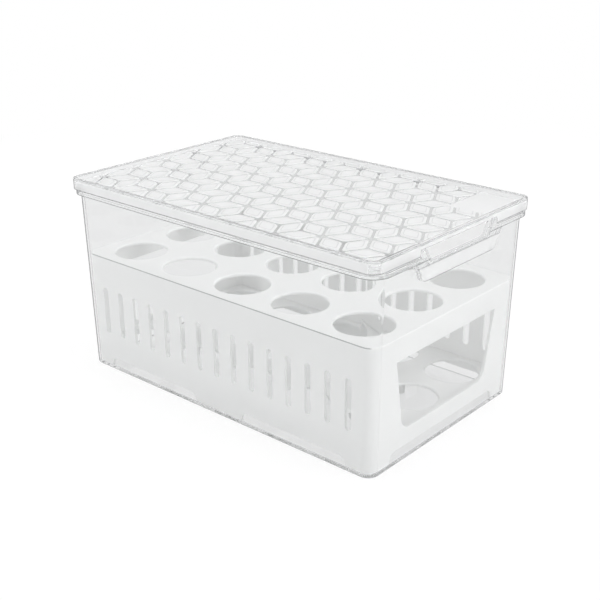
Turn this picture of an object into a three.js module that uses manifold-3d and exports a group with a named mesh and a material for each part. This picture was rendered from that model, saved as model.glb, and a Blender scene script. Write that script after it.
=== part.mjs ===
// A lidded storage box for eggs: a clear bin, a low egg tray on its floor, a tall slotted
// egg rack that stands over that tray, and a clear lid with a tumbling-block pattern.
// Lengths are in millimetres, +Z is up, and the long way of the box runs along Y.
// The origin is at the middle of the bin's underside.

import * as THREE from 'three';
import { mergeVertices } from 'three/addons/utils/BufferGeometryUtils.js';
import Module from 'manifold-3d';

const wasm = await Module();
wasm.setup();

// The lattice of egg holes, which sets the plan of everything else
const holeColumns = 3;
const holeRows = 5;
const holeRadius = 20;
const holeBridgeX = 13.5;
const holeBridgeY = 14;
const holeLipRound = 1.2;

// Egg rack
const rackEdgeMarginX = 9;
const rackEdgeMarginY = 9.75;
const rackFlareX = 0.75;
const rackFlareY = 1.15;
const rackHeight = 90.2;
const rackWall = 2.2;
const rackTopThickness = 2.2;
const rackCornerRadius = 8;
const rackEdgeRound = 1.6;

const slotCount = 15;
const slotPitch = 17;
const slotWidth = 5.2;
const slotHeight = 37.6;
const slotSillHeight = 27.1;

const windowSillHeight = 20.2;
const windowHeight = 52.8;
const windowTopHalfWidth = 58.5;
const windowBottomHalfWidth = 49;
const windowCornerRadius = 8;

const archHeight = 6.9;
const archInnerGap = 23;
const archLength = 94;
const archCornerInset = 5;
const endArchHalfWidth = 62;
const endArchHeight = 7.4;
const endArchCornerInset = 6;

// Low egg tray
const trayTopHeight = 16.6;
const trayThickness = 2;
const trayClearance = 0.6;
const trayPegRadius = 4;
const trayPegTipRadius = 3.4;

// Clear bin
const binWall = 1.8;
const binFloor = 2;
const binFlareX = 3.15;
const binFlareY = 2.4;
const binCornerRadius = 8.5;
const binTopCornerRadius = 10.5;
const binFootRound = 1.6;
const rackClearance = 0.5;
const seatGap = 0.3;
const headroom = 53.6;

const rimLedgeDrop = 3.1;
const rimLipDepth = 3.4;
const rimOverhangX = 2.95;
const rimOverhangY = 3.4;
const rimLipWall = 1.5;
const rimLedgeThickness = 1.6;

const notchBottomHalfWidth = 32.5;
const notchDepth = 9.5;
const notchSideSlopeShare = 0.61;
const gripLipDepth = 10.6;
const gripSideMargin = 12;
const gripSideLean = 5.5;
const gripCornerInset = 6;

// Clear lid
const lidThickness = 1.5;
const lidLipRise = 3.9;
const lidLipWidth = 3;
const lidSkirtWall = 1.8;
const lidPlayX = 1.25;
const lidPlayY = 0.5;
const lidCornerRadius = 8;
const lidEdgeRound = 0.8;
const lidCutMargin = 11.5;
const lidCutRise = 1.6;

// Tumbling-block pattern on the lid: a lattice of raised lozenges with grooves between them
const patternStepX = 16;
const patternStepY = 9;
const grooveWidth = 2;
const lozengeRise = 0.7;
const lozengeSlope = 0.5;
const lozengeRoot = 0.4;
const patternMargin = 0.6;
const plainCornerX = 44;
const plainCornerY = 36;

// Fineness of round stretches, and how far a cutting shape runs past what it cuts
const cornerSteps = 6;
const smallRoundSteps = 2;
const holeSteps = 24;
const slotEndSteps = 6;
const overrun = 2;

// Places and sizes that follow from the sizes above
const holePitchX = 2 * holeRadius + holeBridgeX;
const holePitchY = 2 * holeRadius + holeBridgeY;
const rackTopHalfX = (holePitchX * (holeColumns - 1)) / 2 + holeRadius + rackEdgeMarginX;
const rackTopHalfY = (holePitchY * (holeRows - 1)) / 2 + holeRadius + rackEdgeMarginY;
const rackFootHalfX = rackTopHalfX - rackFlareX;
const rackFootHalfY = rackTopHalfY - rackFlareY;
const rackFootZ = binFloor + seatGap;
const rackTopZ = rackFootZ + rackHeight;
const binTopZ = rackTopZ + headroom;
const binFootHalfX = rackFootHalfX + rackClearance + binWall;
const binFootHalfY = rackFootHalfY + rackClearance + binWall;
const binTopHalfX = binFootHalfX + binFlareX;
const binTopHalfY = binFootHalfY + binFlareY;
const ledgeZ = binTopZ - rimLedgeDrop;
const rimHalfX = binTopHalfX + rimOverhangX;
const rimHalfY = binTopHalfY + rimOverhangY;
const rimBottomZ = ledgeZ - rimLipDepth;
const notchFloorZ = binTopZ - notchDepth;
const lidPlateZ = binTopZ + seatGap;
const lidFaceZ = lidPlateZ + lidThickness;
const lidTopZ = lidFaceZ + lidLipRise;
const lidCavityHalfX = binTopHalfX + lidPlayX;
const lidCavityHalfY = binTopHalfY + lidPlayY;
const lidHalfX = lidCavityHalfX + lidSkirtWall;
const lidHalfY = lidCavityHalfY + lidSkirtWall;
const lidSkirtZ = ledgeZ + seatGap;
const lidCutHalfWidth = notchBottomHalfWidth + lidCutMargin;

// Solids

function solidFrom(geometry) {
  geometry.deleteAttribute('normal');
  geometry.deleteAttribute('uv');
  const merged = mergeVertices(geometry);
  return new wasm.Manifold(new wasm.Mesh({
    numProp: 3,
    vertProperties: new Float32Array(merged.attributes.position.array),
    triVerts: new Uint32Array(merged.index.array),
  }));
}

function geometryFrom(solid) {
  const mesh = solid.getMesh();
  const geometry = new THREE.BufferGeometry();
  geometry.setAttribute('position', new THREE.BufferAttribute(mesh.vertProperties, mesh.numProp));
  geometry.setIndex(new THREE.BufferAttribute(mesh.triVerts, 1));
  geometry.computeVertexNormals();
  return geometry;
}

// Points of a rectangle with round corners, anticlockwise seen from above
function roundedRectangle(halfX, halfY, radius) {
  const points = [];
  const corners = [[1, 1], [-1, 1], [-1, -1], [1, -1]];
  corners.forEach(([sideX, sideY], quarter) => {
    for (let step = 0; step <= cornerSteps; step += 1) {
      const angle = ((quarter + step / cornerSteps) * Math.PI) / 2;
      const x = sideX * (halfX - radius) + radius * Math.cos(angle);
      const y = sideY * (halfY - radius) + radius * Math.sin(angle);
      points.push([x, y]);
    }
  });
  return points;
}

// A closed solid through a stack of rounded rectangles, lowest first
function stackedSolid(levels) {
  const rings = levels.map((level) => roundedRectangle(level.halfX, level.halfY, level.radius));
  const count = rings[0].length;
  const positions = [];
  const index = [];
  rings.forEach((ring, level) => ring.forEach(([x, y]) => positions.push(x, y, levels[level].z)));
  for (let level = 0; level + 1 < rings.length; level += 1) {
    for (let point = 0; point < count; point += 1) {
      const next = (point + 1) % count;
      const low = level * count;
      const high = low + count;
      index.push(low + point, low + next, high + next, low + point, high + next, high + point);
    }
  }
  const top = (rings.length - 1) * count;
  for (let point = 1; point + 1 < count; point += 1) {
    index.push(0, point + 1, point, top, top + point, top + point + 1);
  }
  const geometry = new THREE.BufferGeometry();
  geometry.setAttribute('position', new THREE.Float32BufferAttribute(positions, 3));
  geometry.setIndex(index);
  return solidFrom(geometry);
}

// Plan sizes of a tapering box at one height
function taper(foot, head, z) {
  const share = (z - foot.z) / (head.z - foot.z);
  const between = (low, high) => low + (high - low) * share;
  return {
    z,
    halfX: between(foot.halfX, head.halfX),
    halfY: between(foot.halfY, head.halfY),
    radius: between(foot.radius, head.radius),
  };
}

function inset(level, distance) {
  return {
    z: level.z,
    halfX: level.halfX - distance,
    halfY: level.halfY - distance,
    radius: Math.max(level.radius - distance, distance),
  };
}

function atHeight(level, z) {
  return { ...level, z };
}

// Levels that round off the upper edge of a box, or with a direction of -1 its lower edge
function roundedEdge(level, round, direction) {
  const levels = [];
  for (let step = 0; step <= smallRoundSteps; step += 1) {
    const angle = (step / smallRoundSteps) * (Math.PI / 2);
    const narrower = inset(level, round * (1 - Math.cos(angle)));
    levels.push(atHeight(narrower, level.z - direction * round * (1 - Math.sin(angle))));
  }
  return direction > 0 ? levels : levels.reverse();
}

// An outline extruded straight up
function upright(outline, low, high) {
  const geometry = new THREE.ExtrudeGeometry(outline, {
    depth: high - low,
    bevelEnabled: false,
    curveSegments: cornerSteps,
  });
  geometry.translate(0, 0, low);
  return solidFrom(geometry);
}

// An outline drawn in X and Z, and run along Y between two places
function alongY(outline, start, end) {
  const geometry = new THREE.ExtrudeGeometry(outline, {
    depth: end - start,
    bevelEnabled: false,
    curveSegments: cornerSteps,
  });
  geometry.rotateX(Math.PI / 2);
  geometry.translate(0, end, 0);
  return solidFrom(geometry);
}

// An outline drawn in Y and Z, and run along X between two places
function alongX(outline, start, end) {
  const geometry = new THREE.ExtrudeGeometry(outline, {
    depth: end - start,
    bevelEnabled: false,
    curveSegments: cornerSteps,
  });
  geometry.rotateX(Math.PI / 2);
  geometry.rotateZ(Math.PI / 2);
  geometry.translate(start, 0, 0);
  return solidFrom(geometry);
}

function outlineThrough(points) {
  return new THREE.Shape(points.map(([across, up]) => new THREE.Vector2(across, up)));
}

// An outline in X and Z between two distances from the middle, at the end that is asked for
function betweenPlanes(points, end, near, far) {
  const start = Math.min(end * near, end * far);
  return alongY(outlineThrough(points), start, start + far - near);
}

function joined(first, ...others) {
  return others.reduce((sum, solid) => sum.add(solid), first);
}

function cut(first, ...others) {
  return others.reduce((rest, solid) => rest.subtract(solid), first);
}

function turned(points) {
  return points.map(([across, up]) => [-across, up]).reverse();
}

// Places of the egg holes
function holePlaces() {
  const places = [];
  for (let column = 0; column < holeColumns; column += 1) {
    for (let row = 0; row < holeRows; row += 1) {
      places.push([
        (column - (holeColumns - 1) / 2) * holePitchX,
        (row - (holeRows - 1) / 2) * holePitchY,
      ]);
    }
  }
  return places;
}

// The cutting shape of one egg hole, with a soft lip where it meets the upper face
function holeCutter(x, y, faceZ, thickness) {
  const profile = [
    new THREE.Vector2(0, faceZ - thickness - overrun),
    new THREE.Vector2(holeRadius, faceZ - thickness - overrun),
  ];
  for (let step = 0; step <= smallRoundSteps; step += 1) {
    const angle = (step / smallRoundSteps) * (Math.PI / 2);
    profile.push(new THREE.Vector2(
      holeRadius + holeLipRound * (1 - Math.cos(angle)),
      faceZ - holeLipRound * (1 - Math.sin(angle)),
    ));
  }
  profile.push(new THREE.Vector2(holeRadius + holeLipRound, faceZ + overrun));
  profile.push(new THREE.Vector2(0, faceZ + overrun));
  const geometry = new THREE.LatheGeometry(profile, holeSteps);
  geometry.rotateX(Math.PI / 2);
  geometry.translate(x, y, 0);
  return solidFrom(geometry);
}

// Clear bin: a tapering shell with a lipped rim, which dips to a hand grip at each end

function binSolid() {
  const foot = { z: 0, halfX: binFootHalfX, halfY: binFootHalfY, radius: binCornerRadius };
  const head = { z: binTopZ, halfX: binTopHalfX, halfY: binTopHalfY, radius: binTopCornerRadius };
  const footRound = roundedEdge(taper(foot, head, 0), binFootRound, -1);
  const shell = stackedSolid([...footRound, head]);
  const hollow = stackedSolid([
    inset(taper(foot, head, binFloor), binWall),
    atHeight(inset(head, binWall), binTopZ + overrun),
  ]);

  const rim = { z: ledgeZ, halfX: rimHalfX, halfY: rimHalfY, radius: binTopCornerRadius + rimOverhangX };
  const core = inset(taper(foot, head, rimBottomZ), binWall / 2);
  const ledge = cut(
    stackedSolid([atHeight(rim, rimBottomZ), rim]),
    stackedSolid([atHeight(core, rimBottomZ - overrun), atHeight(core, ledgeZ + overrun)]),
    ringBetween(taper(foot, head, rimBottomZ), inset(rim, rimLipWall), rimBottomZ - overrun,
      ledgeZ - rimLedgeThickness),
  );

  const grips = [1, -1].map((end) => gripSolid(end, foot, head));
  const notches = [1, -1].map((end) => notchCutter(end));
  return cut(joined(shell, ledge, ...grips), hollow, ...notches);
}

function ringBetween(inner, outer, low, high) {
  return cut(
    stackedSolid([atHeight(outer, low), atHeight(outer, high)]),
    stackedSolid([atHeight(inner, low - overrun), atHeight(inner, high + overrun)]),
  );
}

// The notch widens upwards; half its width at a height
function notchHalfWidth(z) {
  return notchBottomHalfWidth + (z - notchFloorZ) * notchSideSlopeShare;
}

function notchCutter(end) {
  const headZ = lidTopZ + overrun;
  const points = [
    [-notchBottomHalfWidth, notchFloorZ],
    [notchBottomHalfWidth, notchFloorZ],
    [notchHalfWidth(headZ), headZ],
    [-notchHalfWidth(headZ), headZ],
  ];
  return betweenPlanes(points, end, binFootHalfY - binWall * 2, rimHalfY + overrun);
}

// The grip: an apron that hangs from the notch's edge, open behind for the fingertips
function gripSolid(end, foot, head) {
  const apronTopZ = lidPlateZ + lidCutRise - seatGap;
  const apronBottomZ = notchFloorZ - gripLipDepth;
  const midHalf = notchBottomHalfWidth + gripSideMargin;
  const sideHalf = midHalf + gripSideLean;
  const shoulderHalf = lidCutHalfWidth - seatGap;
  const apronSide = [
    [midHalf - gripCornerInset, apronBottomZ],
    [midHalf - gripCornerInset / 3, apronBottomZ + gripCornerInset / 3],
    [midHalf, apronBottomZ + gripCornerInset],
    [sideHalf, rimBottomZ],
    [sideHalf, ledgeZ],
    [shoulderHalf, ledgeZ],
    [shoulderHalf, apronTopZ],
  ];
  const wallPlane = taper(foot, head, apronBottomZ).halfY - binWall / 2;
  const apron = betweenPlanes([...apronSide, ...turned(apronSide)], end, wallPlane, rimHalfY);

  const pocketTopZ = notchFloorZ - rimLedgeThickness;
  const pocketSide = [
    [midHalf - gripCornerInset, apronBottomZ - overrun],
    [midHalf - gripCornerInset, apronBottomZ],
    [midHalf - rimLipWall, apronBottomZ + gripCornerInset],
    [sideHalf - rimLipWall, rimBottomZ],
    [sideHalf - rimLipWall, ledgeZ - rimLedgeThickness],
    [notchHalfWidth(ledgeZ) + rimLedgeThickness, ledgeZ - rimLedgeThickness],
    [notchBottomHalfWidth + rimLedgeThickness, pocketTopZ],
  ];
  const wallFace = taper(foot, head, notchFloorZ).halfY;
  const lipFace = rimHalfY - rimLipWall;
  const pocket = betweenPlanes([...pocketSide, ...turned(pocketSide)], end, wallFace, lipFace);

  const plateSide = [[sideHalf, binTopZ], [sideHalf, apronTopZ + overrun]];
  const plateRoom = betweenPlanes([...plateSide, ...turned(plateSide)], end, wallPlane - overrun,
    lidCavityHalfY + seatGap);
  return cut(apron, pocket, plateRoom);
}

// Egg rack: a deep open-bottomed box with the egg holes in its top

function rackSolid() {
  const foot = { z: rackFootZ, halfX: rackFootHalfX, halfY: rackFootHalfY, radius: rackCornerRadius };
  const head = { z: rackTopZ, halfX: rackTopHalfX, halfY: rackTopHalfY, radius: rackCornerRadius };
  const block = stackedSolid([foot, ...roundedEdge(head, rackEdgeRound, 1)]);
  const ceiling = rackTopZ - rackTopThickness;
  const hollow = stackedSolid([
    atHeight(inset(foot, rackWall), rackFootZ - overrun),
    atHeight(inset(taper(foot, head, ceiling), rackWall), ceiling),
  ]);
  const holes = holePlaces().map(([x, y]) => holeCutter(x, y, rackTopZ, rackTopThickness));
  const slots = slotPlaces().map((y) => slotCutter(y));
  return cut(block, hollow, ...holes, ...slots, windowCutter(), ...archCutters());
}

function slotPlaces() {
  const places = [];
  for (let slot = 0; slot < slotCount; slot += 1) {
    places.push((slot - (slotCount - 1) / 2) * slotPitch);
  }
  return places;
}

// One slot with round ends, cut through both long sides at once
function slotCutter(y) {
  const radius = slotWidth / 2;
  const low = rackFootZ + slotSillHeight + radius;
  const high = rackFootZ + slotSillHeight + slotHeight - radius;
  const points = [];
  for (let step = 0; step <= slotEndSteps; step += 1) {
    const angle = (step / slotEndSteps) * Math.PI;
    points.push([y + radius * Math.cos(angle), high + radius * Math.sin(angle)]);
  }
  for (let step = 0; step <= slotEndSteps; step += 1) {
    const angle = Math.PI + (step / slotEndSteps) * Math.PI;
    points.push([y + radius * Math.cos(angle), low + radius * Math.sin(angle)]);
  }
  const reach = rackTopHalfX + overrun;
  return alongX(outlineThrough(points), -reach, reach);
}

// The window in each end narrows downwards and has round lower corners
function windowCutter() {
  const sill = rackFootZ + windowSillHeight;
  const head = sill + windowHeight;
  const outline = new THREE.Shape();
  const slope = (windowTopHalfWidth - windowBottomHalfWidth) / windowHeight;
  const side = (z) => windowBottomHalfWidth + (z - sill) * slope;
  const cornerZ = sill + windowCornerRadius;
  outline.moveTo(-windowTopHalfWidth, head);
  outline.lineTo(-side(cornerZ), cornerZ);
  outline.quadraticCurveTo(-side(sill), sill, windowCornerRadius - windowBottomHalfWidth, sill);
  outline.lineTo(windowBottomHalfWidth - windowCornerRadius, sill);
  outline.quadraticCurveTo(side(sill), sill, side(cornerZ), cornerZ);
  outline.lineTo(windowTopHalfWidth, head);
  const reach = rackTopHalfY + overrun;
  return alongY(outline, -reach, reach);
}

// Low arches leave the rack standing on feet at its corners and mid sides
function archCutters() {
  const low = rackFootZ - overrun;
  const sideTop = rackFootZ + archHeight;
  const endTop = rackFootZ + endArchHeight;
  const far = archInnerGap + archLength;
  const archShare = archCornerInset / 2;
  const sideArch = [
    [archInnerGap, low],
    [far, low],
    [far, rackFootZ],
    [far - archShare, sideTop - archShare],
    [far - archCornerInset, sideTop],
    [archInnerGap + archCornerInset, sideTop],
    [archInnerGap + archShare, sideTop - archShare],
    [archInnerGap, rackFootZ],
  ];
  const endShare = endArchCornerInset / 2;
  const endSide = [
    [endArchHalfWidth, low],
    [endArchHalfWidth, rackFootZ],
    [endArchHalfWidth - endShare, endTop - endShare / 2],
    [endArchHalfWidth - endArchCornerInset, endTop],
  ];
  const reachX = rackTopHalfX + overrun;
  const reachY = rackTopHalfY + overrun;
  return [
    alongX(outlineThrough(sideArch), -reachX, reachX),
    alongX(outlineThrough(turned(sideArch)), -reachX, reachX),
    alongY(outlineThrough([...endSide, ...turned(endSide)]), -reachY, reachY),
  ];
}

// Low tray: a plate with the same holes, which stands on pegs between them

function traySolid() {
  const halfX = rackFootHalfX - rackWall - trayClearance;
  const halfY = rackFootHalfY - rackWall - trayClearance;
  const radius = rackCornerRadius - rackWall;
  const faceZ = rackFootZ + trayTopHeight;
  const plate = stackedSolid([
    { z: faceZ - trayThickness, halfX, halfY, radius },
    { z: faceZ, halfX, halfY, radius },
  ]);
  const pegs = [];
  for (let column = 0; column + 1 < holeColumns; column += 1) {
    for (let row = 0; row + 1 < holeRows; row += 1) {
      const x = (column + 1 - (holeColumns - 1) / 2) * holePitchX - holePitchX / 2;
      const y = (row + 1 - (holeRows - 1) / 2) * holePitchY - holePitchY / 2;
      pegs.push(pegSolid(x, y, faceZ - trayThickness / 2));
    }
  }
  const holes = holePlaces().map(([x, y]) => holeCutter(x, y, faceZ, trayThickness));
  return cut(joined(plate, ...pegs), ...holes);
}

function pegSolid(x, y, headZ) {
  const height = headZ - rackFootZ;
  const geometry = new THREE.CylinderGeometry(trayPegRadius, trayPegTipRadius, height, cornerSteps * 2);
  geometry.rotateX(Math.PI / 2);
  geometry.translate(x, y, rackFootZ + height / 2);
  return solidFrom(geometry);
}

// Clear lid: a plate with a raised lip, a skirt round the bin's rim, and the pattern

function lidSolid() {
  const outer = { z: lidTopZ, halfX: lidHalfX, halfY: lidHalfY, radius: lidCornerRadius };
  const body = stackedSolid([atHeight(outer, lidSkirtZ), ...roundedEdge(outer, lidEdgeRound, 1)]);
  const recess = inset(outer, lidLipWidth);
  const cavity = inset(outer, lidSkirtWall);
  const pan = cut(
    body,
    stackedSolid([atHeight(recess, lidFaceZ), atHeight(recess, lidTopZ + overrun)]),
    stackedSolid([atHeight(cavity, lidSkirtZ - overrun), atHeight(cavity, lidPlateZ)]),
    ...[1, -1].map((end) => skirtCutter(end)),
  );
  return joined(pan, lozengeSolids(recess));
}

// The skirt stops short of the grip at each end
function skirtCutter(end) {
  const headZ = lidPlateZ + lidCutRise;
  const points = [
    [-lidCutHalfWidth, lidSkirtZ - overrun],
    [lidCutHalfWidth, lidSkirtZ - overrun],
    [lidCutHalfWidth, headZ],
    [-lidCutHalfWidth, headZ],
  ];
  return betweenPlanes(points, end, lidHalfY - lidSkirtWall, lidHalfY + overrun);
}

// The pattern repeats three lozenges round each node of a staggered lattice
function lozengeOutlines(field) {
  const nodeStepY = 3 * patternStepY;
  const tall = 2 * patternStepY;
  const kinds = [
    [[0, 0], [patternStepX, -patternStepY], [2 * patternStepX, 0], [patternStepX, patternStepY]],
    [[0, 0], [patternStepX, patternStepY], [patternStepX, nodeStepY], [0, tall]],
    [[0, 0], [0, tall], [-patternStepX, nodeStepY], [-patternStepX, patternStepY]],
  ];
  const outlines = [];
  const across = Math.ceil(field.halfX / patternStepX) + 1;
  const along = Math.ceil(field.halfY / nodeStepY) + 1;
  for (let row = -along; row <= along; row += 1) {
    for (let column = -across; column <= across; column += 1) {
      if ((row + column) % 2 !== 0) {
        const place = [column * patternStepX, row * nodeStepY];
        kinds.forEach((kind) => outlines.push(kind.map(([x, y]) => [place[0] + x, place[1] + y])));
      }
    }
  }
  return outlines;
}

// One lozenge, drawn in from its lattice lines by half a groove, with sloping sides
function lozengeSolid(outline) {
  const centre = [0, 1].map((axis) => outline.reduce((sum, point) => sum + point[axis], 0) / outline.length);
  const drawnIn = (distance) => {
    const share = 1 - distance / (patternStepX / 2);
    return outline.map((point) => point.map((value, axis) => centre[axis] + (value - centre[axis]) * share));
  };
  const footRing = drawnIn(grooveWidth / 2);
  const headRing = drawnIn(grooveWidth / 2 + lozengeSlope);
  const positions = [];
  footRing.forEach(([x, y]) => positions.push(x, y, lidFaceZ - lozengeRoot));
  footRing.forEach(([x, y]) => positions.push(x, y, lidFaceZ));
  headRing.forEach(([x, y]) => positions.push(x, y, lidFaceZ + lozengeRise));
  const count = outline.length;
  const index = [];
  for (let level = 0; level < 2; level += 1) {
    for (let point = 0; point < count; point += 1) {
      const next = (point + 1) % count;
      const low = level * count;
      const high = low + count;
      index.push(low + point, low + next, high + next, low + point, high + next, high + point);
    }
  }
  const top = 2 * count;
  for (let point = 1; point + 1 < count; point += 1) {
    index.push(0, point + 1, point, top, top + point, top + point + 1);
  }
  const geometry = new THREE.BufferGeometry();
  geometry.setAttribute('position', new THREE.Float32BufferAttribute(positions, 3));
  geometry.setIndex(index);
  return solidFrom(geometry);
}

function lozengeSolids(recess) {
  const field = inset(recess, patternMargin);
  const lowZ = lidFaceZ - lozengeRoot;
  const highZ = lidFaceZ + lozengeRise;
  const fieldSolid = cut(
    stackedSolid([atHeight(field, lowZ - overrun), atHeight(field, highZ + overrun)]),
    plainCornerCutter(field, lowZ - 2 * overrun, highZ + 2 * overrun),
  );
  const reaches = ([x, y]) => Math.abs(x) < field.halfX && Math.abs(y) < field.halfY;
  const solids = lozengeOutlines(field).filter((outline) => outline.some(reaches)).map(lozengeSolid);
  return joined(...solids).intersect(fieldSolid);
}

// One corner of the lid stays plain
function plainCornerCutter(field, low, high) {
  const outline = outlineThrough([
    [field.halfX - plainCornerX, -field.halfY - overrun],
    [field.halfX + overrun, -field.halfY - overrun],
    [field.halfX + overrun, plainCornerY - field.halfY],
    [field.halfX - plainCornerX, plainCornerY - field.halfY],
  ]);
  return upright(outline, low, high);
}

// Finishes

const clearPlastic = new THREE.MeshStandardMaterial({
  color: 0xf0f3f4,
  roughness: 0.08,
  metalness: 0,
  transparent: true,
  opacity: 0.3,
});

const whitePlastic = new THREE.MeshStandardMaterial({
  color: 0xeeeeec,
  roughness: 0.42,
  metalness: 0,
});

// The object, piece by piece, from the floor up

const eggHolder = new THREE.Group();

function place(name, solid, material) {
  const mesh = new THREE.Mesh(geometryFrom(solid), material);
  mesh.name = name;
  eggHolder.add(mesh);
}

place('bin', binSolid(), clearPlastic);
place('lower_tray', traySolid(), whitePlastic);
place('egg_rack', rackSolid(), whitePlastic);
place('lid', lidSolid(), clearPlastic);

export default eggHolder;
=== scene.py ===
# %% [markdown]
# # A clear lidded box for eggs
#
# Four moulded pieces stand in each other: a clear bin, a low white tray with egg holes, a
# tall slotted rack with the same holes, and a clear lid with a raised pattern. The frame
# says where each piece is and how large. Here each one is modelled again with smooth
# corners and softened edges, because those are what clear and satin plastic show.

# %% Load the frame
from collections import namedtuple
from contextlib import contextmanager
from math import cos, pi, radians, sin

import bmesh
import bpy
from mathutils import Matrix, Vector


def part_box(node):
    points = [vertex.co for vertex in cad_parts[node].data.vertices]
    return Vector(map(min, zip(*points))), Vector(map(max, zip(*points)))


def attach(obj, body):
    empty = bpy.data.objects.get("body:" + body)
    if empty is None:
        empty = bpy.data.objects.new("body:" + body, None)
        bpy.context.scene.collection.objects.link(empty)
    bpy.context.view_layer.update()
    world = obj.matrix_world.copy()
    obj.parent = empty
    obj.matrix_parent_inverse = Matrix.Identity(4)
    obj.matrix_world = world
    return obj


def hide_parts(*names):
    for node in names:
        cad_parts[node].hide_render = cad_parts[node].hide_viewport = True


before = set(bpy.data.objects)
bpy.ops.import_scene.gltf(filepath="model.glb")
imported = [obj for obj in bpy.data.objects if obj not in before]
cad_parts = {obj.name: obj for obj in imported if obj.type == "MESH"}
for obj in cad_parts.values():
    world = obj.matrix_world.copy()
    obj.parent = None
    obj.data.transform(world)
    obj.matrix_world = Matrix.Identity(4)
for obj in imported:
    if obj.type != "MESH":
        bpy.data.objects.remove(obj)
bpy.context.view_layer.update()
print("nodes:", sorted(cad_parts))

# %% [markdown]
# Every length below is in metres, as the frame's are. `MM` lets a small size be written as
# it would be on a drawing. The frame's boxes give the large sizes.

# %% Units and the main boxes
MM = 0.001
BOX = {name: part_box(name) for name in ("bin", "lower_tray", "egg_rack", "lid")}
for name, (low, high) in BOX.items():
    print(name, "size in mm:", [round(v / MM, 1) for v in high - low])

# %% [markdown]
# ## Camera
#
# The view is from above the near left corner of the box. The lens and the place come from
# solving the box's own edges, so verticals and both long directions meet where they should.

# %% The camera
CAMERA_PLACE = Vector((-549.4, -486.0, 363.2)) * MM
CAMERA_HEADING = radians(48.88)
CAMERA_TILT_DOWN = radians(22.26)
CAMERA_ROLL = radians(-0.2)
CAMERA_LENS = 62.99
CAMERA_SENSOR = 36.0

camera_data = bpy.data.cameras.new("camera")
camera_data.lens = CAMERA_LENS
camera_data.sensor_width = CAMERA_SENSOR
camera_data.clip_start = 10 * MM
camera = bpy.data.objects.new("camera", camera_data)
bpy.context.scene.collection.objects.link(camera)
turn = (
    Matrix.Rotation(-CAMERA_HEADING, 4, "Z")
    @ Matrix.Rotation(pi / 2 - CAMERA_TILT_DOWN, 4, "X")
    @ Matrix.Rotation(CAMERA_ROLL, 4, "Z")
)
camera.matrix_world = Matrix.Translation(CAMERA_PLACE) @ turn
bpy.context.scene.camera = camera
print("camera looks along", [round(v, 3) for v in turn @ Vector((0, 0, -1))])

# %% [markdown]
# ## Modelling by hand, in code
#
# Each operator acts on what is selected, so the first helpers only select. `editing` opens an
# object in edit mode with all of it selected, and closes it afterwards. `pick` goes through
# the open mesh and selects each vertex, edge or face all of whose corners pass a test on
# their place. An edge that only divides a flat face is passed over.

# %% Selecting things
TINY = 0.01 * MM
FLAT_TURN = radians(1)


def select_only(*things):
    bpy.ops.object.select_all(action="DESELECT")
    for thing in things:
        thing.select_set(True)
    bpy.context.view_layer.objects.active = things[0]


@contextmanager
def editing(thing):
    select_only(thing)
    bpy.ops.object.mode_set(mode="EDIT")
    bpy.ops.mesh.select_all(action="SELECT")
    yield
    bpy.ops.object.mode_set(mode="OBJECT")


def pick(kind, test):
    bpy.ops.mesh.select_mode(type=kind)
    bpy.ops.mesh.select_all(action="DESELECT")
    mesh = bmesh.from_edit_mesh(bpy.context.object.data)
    for point in mesh.verts if kind == "VERT" else ():
        point.select_set(test(point.co))
    for face in mesh.faces if kind == "FACE" else ():
        face.select_set(all(test(point.co) for point in face.verts))
    for edge in mesh.edges if kind == "EDGE" else ():
        turns = edge.calc_face_angle(pi) > FLAT_TURN
        edge.select_set(turns and all(test(point.co) for point in edge.verts))
    mesh.select_flush_mode()
    bmesh.update_edit_mesh(bpy.context.object.data)


# %% [markdown]
# A modifier's result is made real with `modifier_apply`. A Boolean modifier joins a
# moulding's parts and cuts its openings, as tool steel does in a mould: the cutter is a
# solid of its own, which is thrown away afterwards.

# %% Modifiers, joins and cuts
def apply_modifier(thing, kind, **settings):
    select_only(thing)
    modifier = thing.modifiers.new(kind.lower(), kind)
    for key, value in settings.items():
        setattr(modifier, key, value)
    bpy.ops.object.modifier_apply(modifier=modifier.name)


def combine(thing, tools, operation):
    for tool in tools:
        apply_modifier(thing, "BOOLEAN", operation=operation, object=tool, solver="MANIFOLD")
        bpy.data.objects.remove(tool)
    return thing


def cut(thing, *tools):
    return combine(thing, tools, "DIFFERENCE")


def join(thing, *tools):
    return combine(thing, tools, "UNION")


# %% [markdown]
# The box, rack, tray and lid are all blocks with round upright corners that widen a little
# towards the top, so that they leave their moulds. A `Level` is such a block's plan at one
# height. A block is made from two flat rings: each is a plane whose four corners are
# bevelled, and the two outlines are bridged and capped. A new plane reaches one unit each way
# from its centre, so that its scale is its half size.
#
# A face that is cut right through its middle becomes a ring, and Blender has no faces with
# holes in them. So each block is first scored with bisect lines where its holes will be:
# every hole then lies across a line, and what is left round it is plain faces, which bevel
# well.

# %% Blocks with round corners
CORNER_STEPS = 12
Level = namedtuple("Level", "half_x half_y z radius")


def inset(level, distance):
    radius = max(level.radius - distance, distance)
    return Level(level.half_x - distance, level.half_y - distance, level.z, radius)


def between(foot, head, z):
    share = (z - foot.z) / (head.z - foot.z)
    values = [low + (high - low) * share for low, high in zip(foot, head)]
    return Level(*values)


def add_plane(centre, half_x, half_y, angle=0):
    bpy.ops.mesh.primitive_plane_add(size=2, location=centre, rotation=(0, 0, angle))
    plane = bpy.context.object
    bpy.ops.object.transform_apply(location=False, rotation=True, scale=False)
    plane.scale = (half_x, half_y, 1)
    bpy.ops.object.transform_apply()
    return plane


def add_ring(level):
    ring = add_plane((0, 0, level.z), level.half_x, level.half_y)
    with editing(ring):
        bpy.ops.mesh.bevel(offset=level.radius, segments=CORNER_STEPS, affect="VERTICES")
        bpy.ops.mesh.delete(type="ONLY_FACE")
    return ring


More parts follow.
